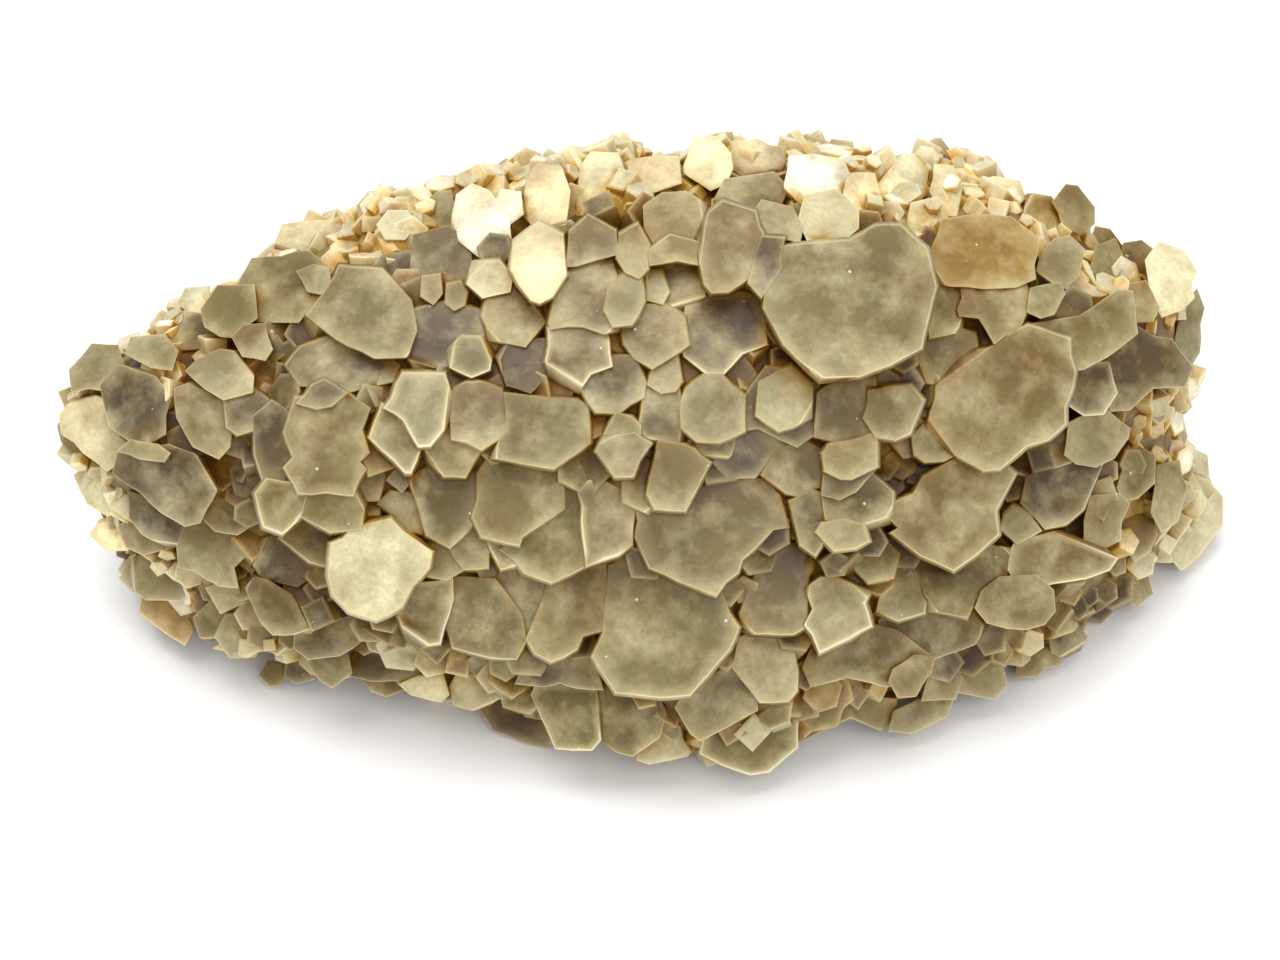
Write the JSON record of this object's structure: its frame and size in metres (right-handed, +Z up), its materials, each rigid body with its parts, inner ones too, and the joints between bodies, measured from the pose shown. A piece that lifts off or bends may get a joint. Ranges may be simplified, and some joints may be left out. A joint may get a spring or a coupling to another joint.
{
  "type": "calcite specimen",
  "caption": "Natural calcite specimen: one intergrown cluster of frosted, flat-ended hexagonal crystals that rests on a flat spot.",
  "frame": {"origin": "middle of the bounding box's bottom, in the plane of the table it rests on", "axes": "+Z up, +X along the cluster's length to the viewer's right, +Y away from the face that carries the tabular crystals"},
  "size_m": [0.1596, 0.086, 0.0655],
  "materials": {
    "calcite": "frosted, translucent honey-grey calcite, paler along its crest and ends"
  },
  "bodies": {
    "root": {"calcite_cluster": "calcite"}
  },
  "joints": []
}
